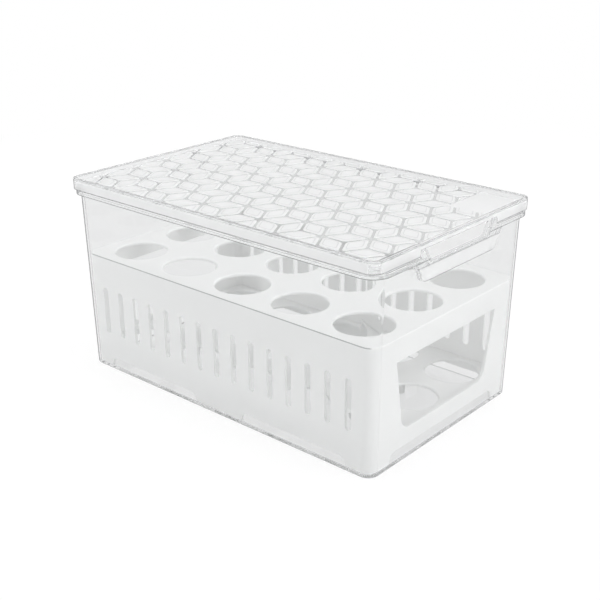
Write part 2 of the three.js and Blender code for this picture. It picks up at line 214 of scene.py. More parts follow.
def score(thing, across=(), along=()):
    cuts = [(Vector((x, 0, 0)), Vector((1, 0, 0))) for x in across]
    cuts += [(Vector((0, y, 0)), Vector((0, 1, 0))) for y in along]
    with editing(thing):
        for point, normal in cuts:
            bpy.ops.mesh.select_all(action="SELECT")
            bpy.ops.mesh.bisect(plane_co=point, plane_no=normal)


def add_block(foot, head, across=(0,), along=(0,)):
    rings = [add_ring(foot), add_ring(head)]
    select_only(*rings)
    bpy.ops.object.join()
    block = bpy.context.object
    with editing(block):
        bpy.ops.mesh.bridge_edge_loops()
        bpy.ops.mesh.select_all(action="SELECT")
        bpy.ops.mesh.fill_holes(sides=0)
        bpy.ops.mesh.select_all(action="SELECT")
        bpy.ops.mesh.normals_make_consistent(inside=False)
    score(block, across, along)
    return block


# %% [markdown]
# Edges are rounded with the bevel operator. A level edge loop is found by its height.

# %% Rounding edges
LOOP_STEPS, CORNER_EDGE_STEPS = 4, 6


def round_edges(thing, test, radius, segments=CORNER_EDGE_STEPS):
    with editing(thing):
        pick("EDGE", test)
        bpy.ops.mesh.bevel(offset=radius, segments=segments, affect="EDGES")


def round_loop(thing, z, radius):
    round_edges(thing, lambda p: abs(p.z - z) < TINY, radius, LOOP_STEPS)


# %% [markdown]
# A panel that lies across the box, such as the grip's apron or the shape that cuts a window,
# is grown from its lowest face: extrude up to the next height, then resize to its width. The
# edges that run through it from front to back are rounded on their own.

# %% Panels grown upwards
def add_panel(steps, y_low, y_high):
    lowest, half = steps[0]
    panel = add_plane((0, (y_low + y_high) / 2, lowest), half, (y_high - y_low) / 2)
    with editing(panel):
        for (last_z, last_half), (z, half) in zip(steps, steps[1:]):
            bpy.ops.mesh.extrude_region_move(TRANSFORM_OT_translate={"value": (0, 0, z - last_z)})
            bpy.ops.transform.resize(value=(half / last_half, 1, 1))
        bpy.ops.mesh.select_all(action="SELECT")
        bpy.ops.mesh.normals_make_consistent(inside=False)
    return panel


def add_box(low, high):
    middle, size = (low + high) / 2, high - low
    bpy.ops.mesh.primitive_cube_add(size=1, location=middle)
    bpy.context.object.scale = size
    bpy.ops.object.transform_apply()
    return bpy.context.object


def round_edges_along_y(thing, test, radius):
    with editing(thing):
        bpy.ops.mesh.select_mode(type="EDGE")
        bpy.ops.mesh.select_all(action="DESELECT")
        mesh = bmesh.from_edit_mesh(thing.data)
        for edge in mesh.edges:
            first, last = (point.co for point in edge.verts)
            runs_along = abs(first.x - last.x) < TINY and abs(first.z - last.z) < TINY
            edge.select_set(runs_along and test(first))
        bmesh.update_edit_mesh(thing.data)
        bpy.ops.mesh.bevel(offset=radius, segments=CORNER_EDGE_STEPS, affect="EDGES")


# %% [markdown]
# A moulded edge is never quite sharp. Once a piece is cut, a Bevel modifier takes a hair off
# every edge that turns more than a limit, smooth shading hides the steps of the round
# corners, and weighted normals keep the large faces flat.

# %% Softened edges
SHARP_TURN = radians(32)
SMOOTH_TURN = radians(40)
FLAT_WEIGHT = 60
SOFT_STEPS = 2


def soften(thing, width):
    with editing(thing):
        bpy.ops.mesh.remove_doubles(threshold=TINY)
    apply_modifier(thing, "BEVEL", width=width, segments=SOFT_STEPS, limit_method="ANGLE",
                   angle_limit=SHARP_TURN, miter_outer="MITER_ARC", use_clamp_overlap=False)


def shade(thing):
    select_only(thing)
    bpy.ops.object.shade_smooth_by_angle(angle=SMOOTH_TURN)
    apply_modifier(thing, "WEIGHTED_NORMAL", weight=FLAT_WEIGHT, keep_sharp=True)


# %% [markdown]
# ## Egg holes
#
# The rack and the tray have the same fifteen holes. Each has a soft lip, so its cutter is a
# cylinder whose head flares along a quarter round. One cutter is modelled and copied.

# %% The lattice of holes
HOLE_RADIUS = 20 * MM
HOLE_LIP = 1.2 * MM
HOLE_STEPS = 96
LIP_STEPS = 5
HOLE_COLUMNS, HOLE_ROWS = 3, 5
HOLE_PITCH_X, HOLE_PITCH_Y = 53.5 * MM, 54 * MM
OVERRUN = 2 * MM
CENTRE = (0, 0, 0)


def hole_places():
    return [
        Vector(((column - (HOLE_COLUMNS - 1) / 2) * HOLE_PITCH_X,
                (row - (HOLE_ROWS - 1) / 2) * HOLE_PITCH_Y, 0))
        for column in range(HOLE_COLUMNS)
        for row in range(HOLE_ROWS)
    ]


def copy_to(thing, places):
    copies = []
    for place in places:
        select_only(thing)
        bpy.ops.object.duplicate()
        bpy.ops.transform.translate(value=place)
        bpy.ops.object.transform_apply(location=True, rotation=False, scale=False)
        copies.append(bpy.context.object)
    bpy.data.objects.remove(thing)
    select_only(*copies)
    bpy.ops.object.join()
    return bpy.context.object


def add_hole_cutters(face_z, under_z):
    lip_z = face_z - HOLE_LIP
    low_z = under_z - OVERRUN
    bpy.ops.mesh.primitive_cylinder_add(
        vertices=HOLE_STEPS, radius=HOLE_RADIUS, depth=lip_z - low_z,
        location=(0, 0, (lip_z + low_z) / 2))
    cutter = bpy.context.object
    bpy.ops.object.transform_apply()
    with editing(cutter):
        bpy.ops.transform.rotate(value=pi / HOLE_STEPS, orient_axis="Z", center_override=CENTRE)
        pick("FACE", lambda p: p.z > lip_z - TINY)
        radius, height = HOLE_RADIUS, lip_z
        for step in range(1, LIP_STEPS + 1):
            angle = step / LIP_STEPS * pi / 2
            next_radius = HOLE_RADIUS + HOLE_LIP * (1 - cos(angle))
            next_height = lip_z + HOLE_LIP * sin(angle)
            bpy.ops.mesh.extrude_region_move(
                TRANSFORM_OT_translate={"value": (0, 0, next_height - height)})
            bpy.ops.transform.resize(value=(next_radius / radius, next_radius / radius, 1))
            radius, height = next_radius, next_height
        bpy.ops.mesh.extrude_region_move(TRANSFORM_OT_translate={"value": (0, 0, OVERRUN)})
    return copy_to(cutter, hole_places())


# %% [markdown]
# ## Egg rack
#
# The rack is a deep box without a floor. A solid block is hollowed by a second block that is
# one wall smaller, its upper edge is rounded, and then come the openings: the egg holes in
# its top, a row of slots in each long side, a window in each end, and low arches all round
# that leave it standing on feet.

# %% Rack sizes
RACK_LOW, RACK_HIGH = BOX["egg_rack"]
RACK_LEAN_X, RACK_LEAN_Y = 0.75 * MM, 1.15 * MM
RACK_CORNER = 8 * MM
RACK_WALL = 2.2 * MM
RACK_EDGE_ROUND = 0.3 * MM
RACK_GROOVE_DROP, RACK_GROOVE_WIDTH, RACK_GROOVE_DEPTH = 0.3 * MM, 0.7 * MM, 0.4 * MM
RACK_GROOVE_HIGH = RACK_HIGH.z - RACK_GROOVE_DROP
RACK_GROOVE_LOW = RACK_GROOVE_HIGH - RACK_GROOVE_WIDTH
RACK_SOFT_EDGE = 0.12 * MM

SLOT_COUNT = 15
SLOT_PITCH = 17 * MM
SLOT_WIDTH = 5.2 * MM
SLOT_SILL = 27.1 * MM
SLOT_HEIGHT = 37.6 * MM
SLOT_STEPS = 24
SLOT_LINES = [(slot - (SLOT_COUNT - 1) / 2) * SLOT_PITCH for slot in range(SLOT_COUNT)]
SLOT_SCORES = [y + SLOT_WIDTH / 4 for y in SLOT_LINES]
HOLE_COLUMN_LINES = sorted({place.x for place in hole_places()})
HOLE_ROW_LINES = sorted({place.y for place in hole_places()})

WINDOW_SILL = 20.2 * MM
WINDOW_HEIGHT = 52.8 * MM
WINDOW_HALF_TOP, WINDOW_HALF_SILL = 58.5 * MM, 49 * MM
WINDOW_CORNER = 8 * MM

SIDE_ARCH_START, SIDE_ARCH_END = 23 * MM, 117 * MM
SIDE_ARCH_HEIGHT = 6.9 * MM
END_ARCH_HALF = 62 * MM
END_ARCH_HEIGHT = 7.4 * MM
ARCH_CORNER = 5 * MM


# %% The openings' cutters
def add_slot_cutters():
    radius = SLOT_WIDTH / 2
    low = RACK_LOW.z + SLOT_SILL + radius
    reach = RACK_HIGH.x + OVERRUN
    bpy.ops.mesh.primitive_cylinder_add(
        vertices=SLOT_STEPS, radius=radius, depth=2 * reach, location=(0, 0, low),
        rotation=(0, pi / 2, 0))
    cutter = bpy.context.object
    bpy.ops.object.transform_apply()
    with editing(cutter):
        bpy.ops.transform.rotate(
            value=pi / SLOT_STEPS, orient_axis="X", center_override=(0, 0, low))
        pick("VERT", lambda p: p.z > low)
        bpy.ops.transform.translate(value=(0, 0, SLOT_HEIGHT - SLOT_WIDTH))
    return copy_to(cutter, [Vector((0, y, 0)) for y in SLOT_LINES])


def add_window_cutter():
    sill = RACK_LOW.z + WINDOW_SILL
    reach = RACK_HIGH.y + OVERRUN
    steps = [(sill, WINDOW_HALF_SILL), (sill + WINDOW_HEIGHT, WINDOW_HALF_TOP)]
    cutter = add_panel(steps, -reach, reach)
    round_edges_along_y(cutter, lambda p: p.z < sill + TINY, WINDOW_CORNER)
    return cutter


def add_arch_cutters():
    low = RACK_LOW.z - OVERRUN
    reach_x, reach_y = RACK_HIGH.x + OVERRUN, RACK_HIGH.y + OVERRUN
    side_top = RACK_LOW.z + SIDE_ARCH_HEIGHT
    end_top = RACK_LOW.z + END_ARCH_HEIGHT
    cutters = []
    for start, end in ((SIDE_ARCH_START, SIDE_ARCH_END), (-SIDE_ARCH_END, -SIDE_ARCH_START)):
        arch = add_box(Vector((-reach_x, start, low)), Vector((reach_x, end, side_top)))
        for y in (start, end):
            round_edges(arch, lambda p: p.z > side_top - TINY and abs(p.y - y) < TINY,
                        ARCH_CORNER)
        cutters.append(arch)
    end_arch = add_box(Vector((-END_ARCH_HALF, -reach_y, low)),
                       Vector((END_ARCH_HALF, reach_y, end_top)))
    round_edges_along_y(end_arch, lambda p: p.z > end_top - TINY, ARCH_CORNER)
    return [*cutters, end_arch]


def add_groove_cutters():
    reach = RACK_HIGH.y - RACK_CORNER
    near, far = RACK_HIGH.x - RACK_GROOVE_DEPTH, RACK_HIGH.x + OVERRUN
    cutters = []
    for start, end in ((near, far), (-far, -near)):
        low, high = Vector((start, -reach, RACK_GROOVE_LOW)), Vector((end, reach, RACK_GROOVE_HIGH))
        cutters.append(add_box(low, high))
        score(cutters[-1], along=HOLE_ROW_LINES + SLOT_SCORES)
    return cutters


# %% Model the rack
def model_rack():
    head = Level(RACK_HIGH.x, RACK_HIGH.y, RACK_HIGH.z, RACK_CORNER)
    foot = Level(head.half_x - RACK_LEAN_X, head.half_y - RACK_LEAN_Y, RACK_LOW.z, RACK_CORNER)
    ceiling = RACK_HIGH.z - RACK_WALL
    lines = HOLE_COLUMN_LINES, HOLE_ROW_LINES + SLOT_SCORES
    rack = add_block(foot, head)
    round_loop(rack, RACK_HIGH.z, RACK_EDGE_ROUND)
    score(rack, *lines)
    hollow = add_block(inset(foot, RACK_WALL)._replace(z=foot.z - OVERRUN),
                       inset(between(foot, head, ceiling), RACK_WALL), *lines)
    cut(rack, hollow, add_hole_cutters(RACK_HIGH.z, ceiling), add_slot_cutters(),
        add_window_cutter(), *add_arch_cutters(), *add_groove_cutters())
    soften(rack, RACK_SOFT_EDGE)
    shade(rack)
    return rack


rack = model_rack()
print("rack faces:", len(rack.data.polygons))

# %% [markdown]
# ## Low tray
#
# The tray is a thin plate with the same holes. It stands on eight pegs, which taper a little
# towards the floor, one in the middle of each four holes.

# %% Tray sizes
TRAY_LOW, TRAY_HIGH = BOX["lower_tray"]
TRAY_CORNER = RACK_CORNER - RACK_WALL
TRAY_THICKNESS = 2 * MM
TRAY_EDGE_ROUND = 0.5 * MM
TRAY_SOFT_EDGE = 0.25 * MM
PEG_RADIUS, PEG_TIP_RADIUS = 4 * MM, 3.4 * MM
PEG_STEPS = 32
PEG_TIP_ROUND = 0.8 * MM
PEG_COLUMN_LINES = [x + HOLE_PITCH_X / 2 for x in HOLE_COLUMN_LINES[:-1]]
PEG_ROW_LINES = [y + HOLE_PITCH_Y / 2 for y in HOLE_ROW_LINES[:-1]]


# %% Model the tray
def add_pegs():
    root = TRAY_HIGH.z - TRAY_THICKNESS / 2
    bpy.ops.mesh.primitive_cone_add(
        vertices=PEG_STEPS, radius1=PEG_TIP_RADIUS, radius2=PEG_RADIUS, depth=root - TRAY_LOW.z,
        location=(0, 0, (root + TRAY_LOW.z) / 2))
    peg = bpy.context.object
    bpy.ops.object.transform_apply()
    with editing(peg):
        bpy.ops.transform.rotate(value=pi / PEG_STEPS, orient_axis="Z", center_override=CENTRE)
    round_loop(peg, TRAY_LOW.z, PEG_TIP_ROUND)
    return copy_to(peg, [Vector((x, y, 0)) for x in PEG_COLUMN_LINES for y in PEG_ROW_LINES])


def model_tray():
    face = Level(TRAY_HIGH.x, TRAY_HIGH.y, TRAY_HIGH.z, TRAY_CORNER)
    under = face._replace(z=TRAY_HIGH.z - TRAY_THICKNESS)
    tray = add_block(under, face)
    round_loop(tray, face.z, TRAY_EDGE_ROUND)
    score(tray, HOLE_COLUMN_LINES + PEG_COLUMN_LINES, HOLE_ROW_LINES + PEG_ROW_LINES)
    join(tray, add_pegs())
    cut(tray, add_hole_cutters(face.z, under.z))
    soften(tray, TRAY_SOFT_EDGE)
    shade(tray)
    return tray


tray = model_tray()
print("tray faces:", len(tray.data.polygons))

# %% [markdown]
# ## Bin
#
# The bin is one clear moulding. Its walls lean outwards, and near the top they carry a ledge
# with a lip turned down, which stiffens the rim. At each short end the rim dips to a notch,
# and an apron hangs from it as a hand grip, open behind for the fingertips.

# %% Bin sizes
BIN_LOW, BIN_HIGH = BOX["bin"]
LID_LOW, LID_HIGH = BOX["lid"]
SEAT_GAP = 0.3 * MM
BIN_WALL = 1.8 * MM
BIN_FLOOR = 2 * MM
BIN_CORNER_FOOT, BIN_CORNER_TOP = 8.5 * MM, 10.5 * MM
BIN_FOOT_ROUND = 1.2 * MM
BIN_FLOOR_ROUND = 1.2 * MM
RACK_CLEARANCE = 0.5 * MM
RIM_OVERHANG_X, RIM_OVERHANG_Y = 2.95 * MM, 3.4 * MM
RIM_LIP_DEPTH = 3.4 * MM
RIM_LIP_WALL = 1.5 * MM
LEDGE_THICKNESS = 1.6 * MM

LEDGE_Z = LID_LOW.z - SEAT_GAP
LEDGE_DROP = 3.1 * MM
BIN_TOP_Z = LEDGE_Z + LEDGE_DROP
RIM_BOTTOM_Z = LEDGE_Z - RIM_LIP_DEPTH
BIN_TOP_HALF_X = BIN_HIGH.x - RIM_OVERHANG_X
BIN_TOP_HALF_Y = BIN_HIGH.y - RIM_OVERHANG_Y
BIN_SOFT_EDGE = 0.3 * MM

BIN_HEAD = Level(BIN_TOP_HALF_X, BIN_TOP_HALF_Y, BIN_TOP_Z, BIN_CORNER_TOP)
BIN_FOOT = Level(RACK_HIGH.x - RACK_LEAN_X + RACK_CLEARANCE + BIN_WALL,
                 RACK_HIGH.y - RACK_LEAN_Y + RACK_CLEARANCE + BIN_WALL, BIN_LOW.z, BIN_CORNER_FOOT)
RIM = Level(BIN_HIGH.x, BIN_HIGH.y, LEDGE_Z, BIN_CORNER_TOP + RIM_OVERHANG_X)
print("bin wall leans out by", round((BIN_HEAD.half_x - BIN_FOOT.half_x) / MM, 2), "mm")

# %% Grip sizes
NOTCH_HALF = 32.5 * MM
NOTCH_DEPTH = 9.5 * MM
NOTCH_CORNER = 1.6 * MM
NOTCH_SLOPE_SHARE = 0.61
NOTCH_FLOOR_Z = BIN_TOP_Z - NOTCH_DEPTH
APRON_DEPTH = 10.6 * MM
APRON_BOTTOM_Z = NOTCH_FLOOR_Z - APRON_DEPTH
APRON_HALF = 44.5 * MM
APRON_BOTTOM_HALF = 43.5 * MM
APRON_BEND_RISE = 6 * MM
APRON_SHOULDER_HALF = 50 * MM
APRON_CORNER = 5 * MM
APRON_TOP_Z = BIN_HIGH.z
LID_CUT_HALF = 44 * MM
PLATE_ROOM_Y = 142.1 * MM


# %% [markdown]
# The rim starts as a solid collar round the shell. A channel cut from below leaves the ledge
# and the lip that is turned down.

# %% Model the shell and its rim
def add_shell():
    shell = add_block(BIN_FOOT, BIN_HEAD)
    round_loop(shell, BIN_FOOT.z, BIN_FOOT_ROUND)
    return shell


def add_rim():
    collar = add_block(RIM._replace(z=RIM_BOTTOM_Z), RIM)
    channel = inset(RIM, RIM_LIP_WALL)
    channel_cutter = add_block(channel._replace(z=RIM_BOTTOM_Z - OVERRUN),
                               channel._replace(z=LEDGE_Z - LEDGE_THICKNESS))
    return cut(collar, channel_cutter)


# %% [markdown]
# One grip is modelled at the far end. The near one is a copy turned half round, because both
# ends are alike.

# %% Model a grip
def notch_half(z):
    return NOTCH_HALF + (z - NOTCH_FLOOR_Z) * NOTCH_SLOPE_SHARE


def add_grip():
    wall = between(BIN_FOOT, BIN_HEAD, APRON_BOTTOM_Z).half_y - BIN_WALL / 2
    shoulder = LID_CUT_HALF - SEAT_GAP
    steps = [
        (APRON_BOTTOM_Z, APRON_BOTTOM_HALF),
        (APRON_BOTTOM_Z + APRON_BEND_RISE, APRON_HALF),
        (RIM_BOTTOM_Z, APRON_SHOULDER_HALF),
        (LEDGE_Z, APRON_SHOULDER_HALF),
        (LEDGE_Z, shoulder),
        (APRON_TOP_Z, shoulder),
    ]
    apron = add_panel(steps, wall, BIN_HIGH.y)
    round_edges_along_y(apron, lambda p: p.z < APRON_BOTTOM_Z + TINY, APRON_CORNER)
    score(apron, across=(0,))

    slope_turn = RIM_LIP_WALL
    pocket_steps = [
        (APRON_BOTTOM_Z - OVERRUN, APRON_BOTTOM_HALF - APRON_CORNER),
        (APRON_BOTTOM_Z, APRON_BOTTOM_HALF - APRON_CORNER),
        (APRON_BOTTOM_Z + APRON_BEND_RISE, APRON_HALF - slope_turn),
        (RIM_BOTTOM_Z, APRON_SHOULDER_HALF - slope_turn),
        (LEDGE_Z - LEDGE_THICKNESS, APRON_SHOULDER_HALF - slope_turn),
    ]
    face = between(BIN_FOOT, BIN_HEAD, NOTCH_FLOOR_Z).half_y
    lip_face = BIN_HIGH.y - RIM_LIP_WALL
    pocket = add_panel(pocket_steps, face, lip_face)
    roof_steps = [
        (NOTCH_FLOOR_Z - LEDGE_THICKNESS, NOTCH_HALF + LEDGE_THICKNESS),
        (APRON_TOP_Z + OVERRUN, notch_half(APRON_TOP_Z + OVERRUN) + LEDGE_THICKNESS),
    ]
    cut(pocket, add_panel(roof_steps, face - OVERRUN, lip_face + OVERRUN))
    plate_steps = [(BIN_TOP_Z, APRON_SHOULDER_HALF), (APRON_TOP_Z + OVERRUN, APRON_SHOULDER_HALF)]
    plate_room = add_panel(plate_steps, wall - OVERRUN, PLATE_ROOM_Y)
    return cut(apron, pocket, plate_room)


def add_notch_cutter():
    top = APRON_TOP_Z + OVERRUN
    steps = [(NOTCH_FLOOR_Z, NOTCH_HALF), (top, notch_half(top))]
    notch = add_panel(steps, BIN_FOOT.half_y - 2 * BIN_WALL, BIN_HIGH.y + OVERRUN)
    round_edges_along_y(notch, lambda p: p.z < NOTCH_FLOOR_Z + TINY, NOTCH_CORNER)
    return notch


def copy_turned(thing):
    select_only(thing)
    bpy.ops.object.duplicate()
    turned = bpy.context.object
    with editing(turned):
        bpy.ops.transform.rotate(value=pi, orient_axis="Z", center_override=CENTRE)
    return turned


# %% Put the bin together
def model_bin():
    shell = add_shell()
    far_grip = add_grip()
    near_grip = copy_turned(far_grip)
    join(shell, add_rim(), far_grip, near_grip)
    hollow = add_block(inset(between(BIN_FOOT, BIN_HEAD, BIN_FLOOR), BIN_WALL),
                       inset(BIN_HEAD, BIN_WALL)._replace(z=BIN_TOP_Z + OVERRUN))
    round_loop(hollow, BIN_FLOOR, BIN_FLOOR_ROUND)
    far_notch = add_notch_cutter()
    near_notch = copy_turned(far_notch)
    cut(shell, hollow, far_notch, near_notch)
    soften(shell, BIN_SOFT_EDGE)
    shade(shell)
    return shell


bin_shell = model_bin()
print("bin faces:", len(bin_shell.data.polygons))

# %% [markdown]
# ## Lid
#
# The lid is a plate with a lip that stands up round its edge and a skirt that drops over the
# bin's rim. The skirt stops at the grips. The plate carries a tumbling-block pattern: three
# kinds of lozenge pads round each point of a lattice, with grooves between them.

# %% Lid sizes
LID_CORNER = 8 * MM
LID_EDGE_ROUND = 0.5 * MM
LID_LIP_WIDTH = 3 * MM
LID_LIP_RISE = 3.9 * MM
LID_SKIRT_WALL = 1.8 * MM
LID_CUT_RISE = 1.6 * MM
LID_SOFT_EDGE = 0.3 * MM
LID_PLATE_Z = BIN_TOP_Z + SEAT_GAP
LID_FACE_Z = LID_HIGH.z - LID_LIP_RISE
LID_TOP = Level(LID_HIGH.x, LID_HIGH.y, LID_HIGH.z, LID_CORNER)

PATTERN_X, PATTERN_Y = 16 * MM, 9 * MM
ROW_STEP = 3 * PATTERN_Y
ROOT_TWO = 2 ** 0.5
PATTERN_MARGIN = 0.6 * MM
PAD_ROOT = 0.4 * MM
PAD_CORNER = 3 * MM
PAD_CORNER_STEPS = 4
PAD_PROFILE = [(1.0, 0.0), (1.1, 0.3), (1.4, 0.52), (1.9, 0.65), (2.8, 0.72), (4.6, 0.78),
               (6.4, 0.8)]
PLAIN_X, PLAIN_Y = 44 * MM, 36 * MM
SPARE_X, SPARE_Y = 3, 2


# %% Model the plate, lip and skirt
def add_lid_body():
    body = add_block(LID_TOP._replace(z=LID_LOW.z), LID_TOP)
    round_loop(body, LID_HIGH.z, LID_EDGE_ROUND)
    recess = inset(LID_TOP, LID_LIP_WIDTH)
    cavity = inset(LID_TOP, LID_SKIRT_WALL)
    recess_cutter = add_block(recess._replace(z=LID_FACE_Z),
                              recess._replace(z=LID_HIGH.z + OVERRUN))
    cavity_cutter = add_block(cavity._replace(z=LID_LOW.z - OVERRUN),
                              cavity._replace(z=LID_PLATE_Z))
    skirt_steps = [(LID_LOW.z - OVERRUN, LID_CUT_HALF), (LID_PLATE_Z + LID_CUT_RISE, LID_CUT_HALF)]
    far_cut = add_panel(skirt_steps, LID_HIGH.y - LID_SKIRT_WALL, LID_HIGH.y + OVERRUN)
    near_cut = copy_turned(far_cut)
    cut(body, recess_cutter, cavity_cutter, far_cut, near_cut)
    soften(body, LID_SOFT_EDGE)
    return body


# %% [markdown]
# A pad starts as a flat plane of four corners. One kind is a square turned by 45 degrees and
# squashed. The other two are planes with one side moved along. The corners are bevelled, and
# the face is then raised and drawn in by steps along a soft shoulder, so that the pad looks
# like a small pillow. `PAD_PROFILE` says for each step how far it is drawn in and how high it
# stands, in millimetres.

# %% Model one pad
def raise_pad(pad, centre):
    half_width = PATTERN_X / 2 / MM
    shares = [1 - drawn_in / half_width for drawn_in, rise in PAD_PROFILE]
    heights = [0] + [PAD_ROOT + rise * MM for drawn_in, rise in PAD_PROFILE]
    last = shares[0]
    with editing(pad):
        bpy.ops.mesh.bevel(offset=PAD_CORNER, segments=PAD_CORNER_STEPS, affect="VERTICES")
        bpy.ops.mesh.select_all(action="SELECT")
        bpy.ops.transform.resize(value=(last, last, 1), center_override=centre)
        for share, low, high in zip(shares, heights, heights[1:]):
            bpy.ops.mesh.extrude_region_move(TRANSFORM_OT_translate={"value": (0, 0, high - low)})
            bpy.ops.transform.resize(value=(share / last, share / last, 1), center_override=centre)
            last = share
        bpy.ops.mesh.poke()
        bpy.ops.mesh.select_all(action="SELECT")
        bpy.ops.mesh.normals_make_consistent(inside=False)
    return pad


def add_flat_pad(root_z):
    centre = Vector((PATTERN_X, 0, root_z))
    pad = add_plane(centre, PATTERN_X / ROOT_TWO, PATTERN_Y / ROOT_TWO, pi / 4)
    return raise_pad(pad, centre)


def add_leaning_pad(root_z, side):
    middle = Vector((side * PATTERN_X / 2, PATTERN_Y, root_z))
    pad = add_plane(middle, PATTERN_X / 2, PATTERN_Y)
    with editing(pad):
        pick("VERT", lambda p: abs(p.x) > PATTERN_X / 2)
        bpy.ops.transform.translate(value=(0, PATTERN_Y, 0))
    return raise_pad(pad, middle + Vector((0, PATTERN_Y / 2, 0)))


# %% [markdown]
# Three pads make one block of the pattern. Array modifiers repeat it across and along the
# lid, with some to spare, and a second set of rows sits half a step aside. Blocks are cut
# where the field ends, and one corner of the lid stays plain.

# %% Repeat the pads over the lid
def add_pattern():
    root_z = LID_FACE_Z - PAD_ROOT
    pads = [add_flat_pad(root_z), add_leaning_pad(root_z, 1), add_leaning_pad(root_z, -1)]
    select_only(*pads)
    bpy.ops.object.join()
    pattern = bpy.context.object
    step_x, step_y = 2 * PATTERN_X, 2 * ROW_STEP
    count_x = int(2 * LID_HIGH.x / step_x) + SPARE_X
    count_y = int(2 * LID_HIGH.y / step_y) + SPARE_Y
    start = Vector((-(count_x - 1) * PATTERN_X, -(count_y - 1) * ROW_STEP, 0))
    for count, offset in ((count_x, (step_x, 0, 0)), (count_y, (0, step_y, 0))):
        apply_modifier(pattern, "ARRAY", count=count, use_relative_offset=False,
                       use_constant_offset=True, constant_offset_displace=offset)
    return copy_to(pattern, [start, start + Vector((PATTERN_X, ROW_STEP, 0))])


def add_pads():
    field = inset(LID_TOP, LID_LIP_WIDTH + PATTERN_MARGIN)
    pads = add_pattern()
    keep = add_block(field._replace(z=LID_FACE_Z - 2 * PAD_ROOT), field._replace(z=LID_HIGH.z))
    combine(pads, [keep], "INTERSECT")
    plain_low = Vector((field.half_x - PLAIN_X, -field.half_y - OVERRUN, LID_PLATE_Z))
    plain_high = Vector((field.half_x + OVERRUN, PLAIN_Y - field.half_y, LID_HIGH.z))
    return cut(pads, add_box(plain_low, plain_high))


def model_lid():
    lid = add_lid_body()
    join(lid, add_pads())
    shade(lid)
    return lid


lid = model_lid()
print("lid faces:", len(lid.data.polygons))

# %% [markdown]
# ## Shader maths
#
# A finish is easier to read as an expression. `Value` wraps a socket, and adding or
# multiplying two of them adds the Math node that does it. `Finish` makes the other nodes:
# a Mix node has sockets for numbers, vectors and colours, so its colour ones go by number.

# %% A small class for shader maths
class Value:
    def __init__(self, finish, socket):
        self.finish = finish
        self.socket = socket

    def maths(self, operation, *others):
        return self.finish.node("ShaderNodeMath", {"operation": operation}, [self, *others])

    def __add__(self, other):
        return self.maths("ADD", other)

    __radd__ = __add__

    def __mul__(self, other):
        return self.maths("MULTIPLY", other)

    __rmul__ = __mul__

    def __sub__(self, other):
        return self.maths("SUBTRACT", other)

    def __rsub__(self, other):
        return self.finish.node("ShaderNodeMath", {"operation": "SUBTRACT"}, [other, self])

    def __pow__(self, other):
        return self.maths("POWER", other)


# %% A material with one node-making method
COLOUR_MIX_INPUTS, COLOUR_MIX_OUTPUT = (0, 6, 7), 2


class Finish:
    def __init__(self, owner, output="ShaderNodeOutputMaterial"):
        owner.use_nodes = True
        self.owner = owner
        self.tree = owner.node_tree
        self.tree.nodes.clear()
        self.output = self.tree.nodes.new(output)

    def node(self, kind, settings=None, inputs=(), output=0):
        made = self.tree.nodes.new(kind)
        for key, value in (settings or {}).items():
            setattr(made, key, value)
        pairs = inputs.items() if isinstance(inputs, dict) else enumerate(inputs)
        for key, value in pairs:
            if isinstance(value, Value):
                self.tree.links.new(value.socket, made.inputs[key])
            else:
                made.inputs[key].default_value = value
        return Value(self, made.outputs[output])

    def fade(self, value, start, end):
        limits = {"Value": value, "From Min": start, "From Max": end}
        return self.node("ShaderNodeMapRange", {}, limits)

    def blend(self, mask, low, high):
        colours = dict(zip(COLOUR_MIX_INPUTS, (mask, low, high)))
        return self.node("ShaderNodeMix", {"data_type": "RGBA"}, colours, COLOUR_MIX_OUTPUT)

    def ray(self, name):
        return self.node("ShaderNodeLightPath", output=name)

    def mix(self, share, low, high):
        return self.node("ShaderNodeMixShader", {}, [share, low, high])

    def finish(self, surface):
        self.tree.links.new(surface.socket, self.output.inputs["Surface"])
        return self.owner


def new_finish(name):
    return Finish(bpy.data.materials.new(name))


# %% [markdown]
# Three more helpers: `axes` splits a place into its three numbers, `strongest` keeps the
# largest of some masks, and `add_noise` makes a cloudy pattern that is fixed to the piece.

# %% Helpers for masks and noise
def axes(made, vector):
    parts = made.node("ShaderNodeSeparateXYZ", {}, [vector]).socket.node
    return [Value(made, parts.outputs[axis]) for axis in range(3)]


def strongest(first, *others):
    for other in others:
        first = first.maths("MAXIMUM", other)
    return first


def add_noise(made, place, scale, detail=2.0):
    return made.node("ShaderNodeTexNoise", {}, {"Vector": place, "Scale": scale, "Detail": detail})


# %% [markdown]
# ## Plastics
#
# The rack and tray are white polypropylene: satin, with a fine moulded grain. The bin and
# the lid are clear polystyrene: real refraction bends what lies behind a corner and shades
# every edge, and a few thin grey lines of painted shade are drawn where an edge has to look
# crisp.
#
# White plastic lets a little light through, so a Translucent share lightens the inside of
# the rack. The fine groove under the rack's top edge is painted dark as shade, with a
# painted highlight as a pale line below it and round the lip of each egg hole.

# %% White plastic
WHITE = (0.94, 0.942, 0.938, 1.0)
WHITE_SHADE = (0.915, 0.919, 0.917, 1.0)
# Painted highlight: a pale line under the rack's groove and round each hole's lip.
PAINTED_HIGHLIGHT_WHITE = (0.995, 0.995, 0.995, 1.0)
# Painted shade: the dark inside of the rack's groove.
GROOVE_SHADE = (0.25, 0.255, 0.26, 1.0)
WHITE_GLOW_SHARE = 0.37
WHITE_IOR, WHITE_GLOSS = 1.49, 0.4
WHITE_ROUGHNESS, GRAIN_ROUGHNESS = 0.36, 0.12
CLOUD_SCALE, CLOUD_DETAIL, GRAIN_SCALE = 18.0, 3.0, 1500.0
GRAIN_BUMP, GRAIN_DEPTH = 0.06, 0.15 * MM
LINE_SOFTNESS = 0.05 * MM
PAINTED_HIGHLIGHT_WIDTH = 0.6 * MM


